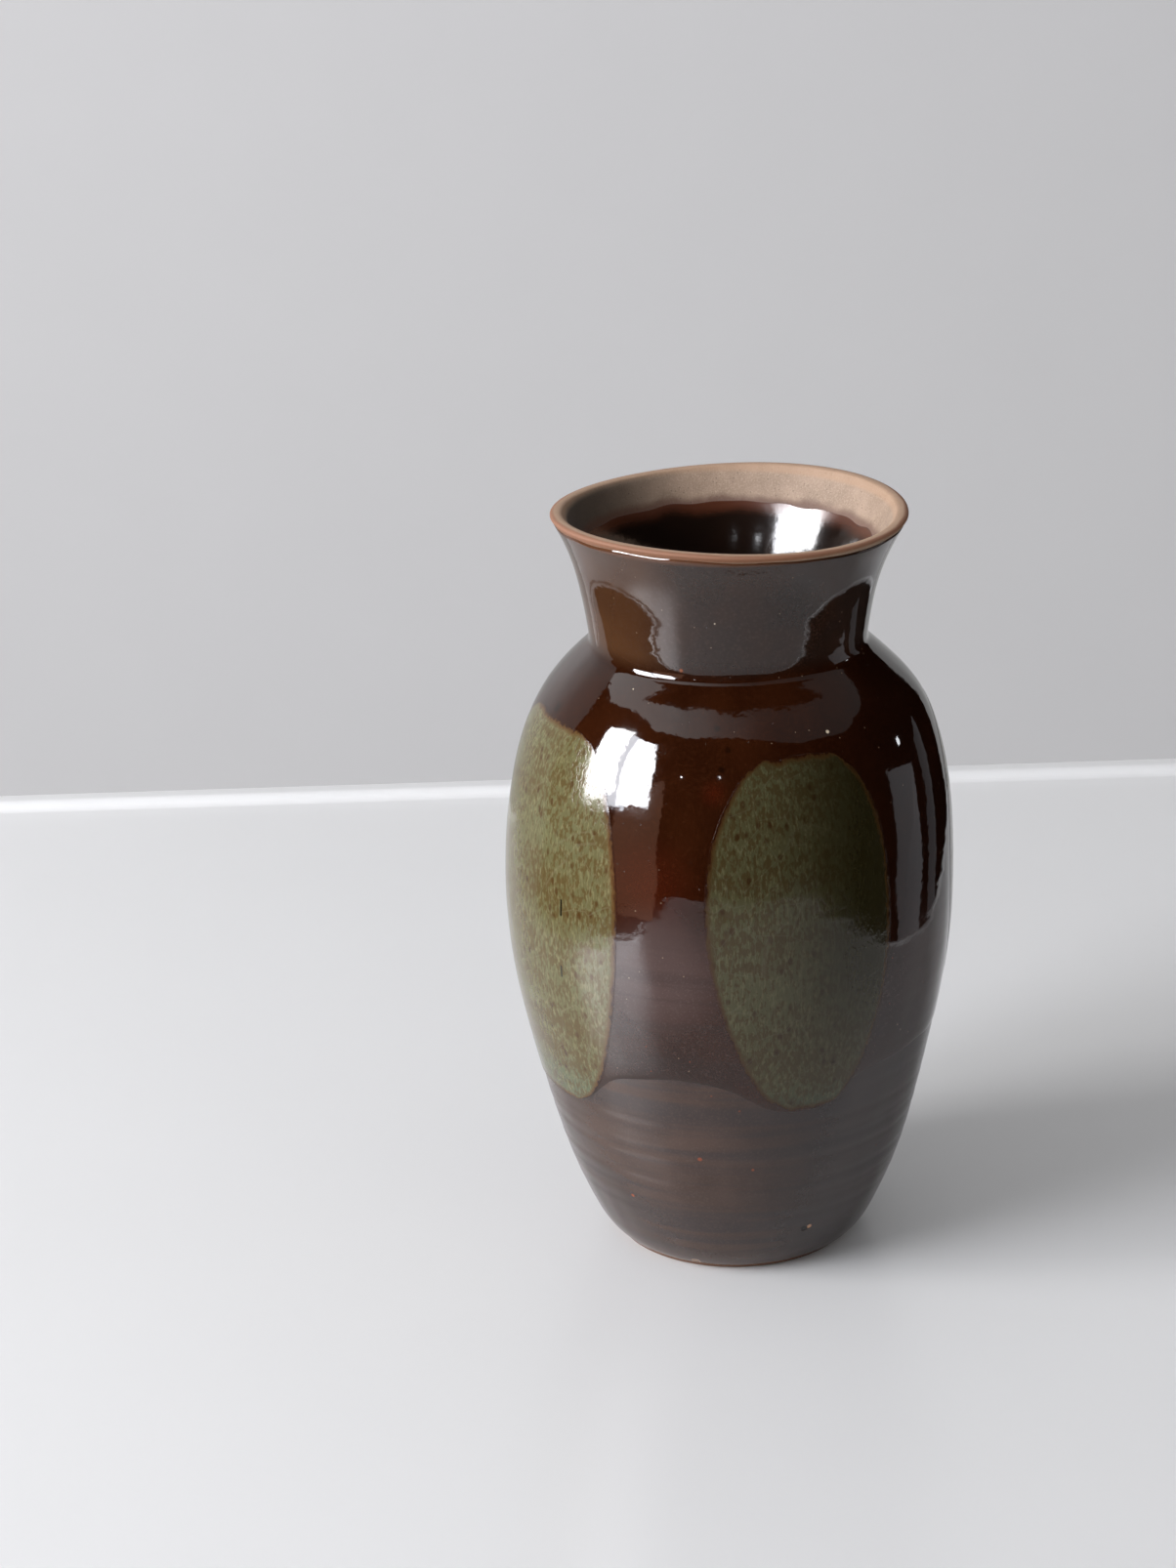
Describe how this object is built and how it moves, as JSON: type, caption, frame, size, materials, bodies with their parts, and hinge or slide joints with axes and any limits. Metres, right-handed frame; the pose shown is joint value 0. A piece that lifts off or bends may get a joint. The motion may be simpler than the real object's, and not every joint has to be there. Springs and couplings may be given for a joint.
{
  "type": "stoneware pottery vase",
  "caption": "Wheel-thrown stoneware vase with a rounded body, a flared neck and overlapping dipped glazes, hollow inside for flowers, standing on a flat foot",
  "frame": {"origin": "the centre of the foot, on the plane that the vase stands on", "axes": "+Z is the vase's own turning axis, upwards; -Y is the front, where one green panel sits a little to the +X side; +X is to the right as seen from the front"},
  "size_m": [0.1511, 0.1512, 0.254],
  "materials": {
    "bare_stoneware": "unglazed buff stoneware, matte, with fine dark specks",
    "grey_brown_glaze": "thin grey-brown glaze, glossy, breaking to rust at edges, with a few rust specks",
    "dark_brown_glaze": "thick dark chocolate glaze, very glossy, with fine pinholes",
    "black_brown_glaze": "near-black brown liner glaze, very glossy",
    "mottled_green_glaze": "olive green glaze, glossy, mottled with short upright brown streaks"
  },
  "bodies": {
    "root": {"clay_body": "bare_stoneware", "first_coat_glaze": "grey_brown_glaze", "second_coat_glaze": "dark_brown_glaze", "liner_glaze": "black_brown_glaze", "green_panel_front": "mottled_green_glaze", "green_panel_left": "mottled_green_glaze", "green_panel_right": "mottled_green_glaze", "green_panel_back": "mottled_green_glaze"}
  },
  "joints": []
}
